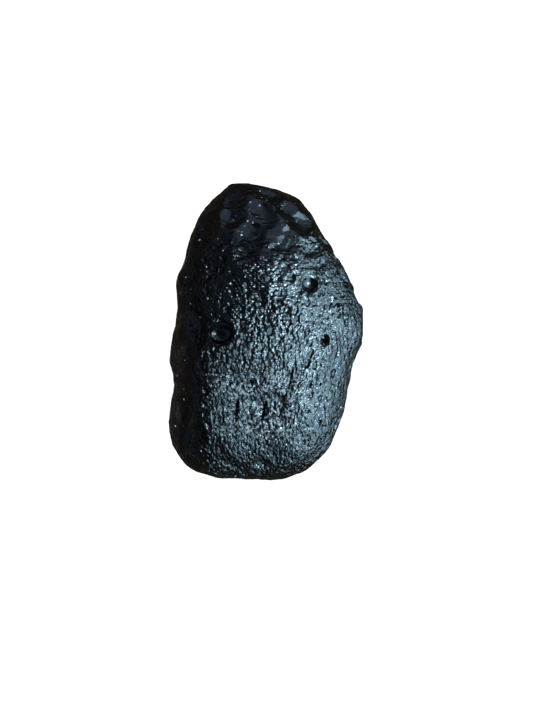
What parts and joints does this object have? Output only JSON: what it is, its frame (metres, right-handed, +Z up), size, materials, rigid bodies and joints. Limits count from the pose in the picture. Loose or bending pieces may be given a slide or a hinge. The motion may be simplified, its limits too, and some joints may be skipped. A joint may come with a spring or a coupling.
{
  "type": "tektite",
  "caption": "Egg-like lump of black natural glass with scalloped dishes, burst bubbles and a finely pitted skin, lying on its flattest side.",
  "frame": {"origin": "on the surface that the lump lies on, under the middle of its outline", "axes": "+Y to the narrow end, +X to the side with the shoulder, +Z up"},
  "size_m": [0.0316, 0.048, 0.0245],
  "materials": {
    "black_glass": "near-black natural glass, satin with fine bumps and pits, glossier in the dishes"
  },
  "bodies": {
    "root": {"tektite": "black_glass"}
  },
  "joints": []
}
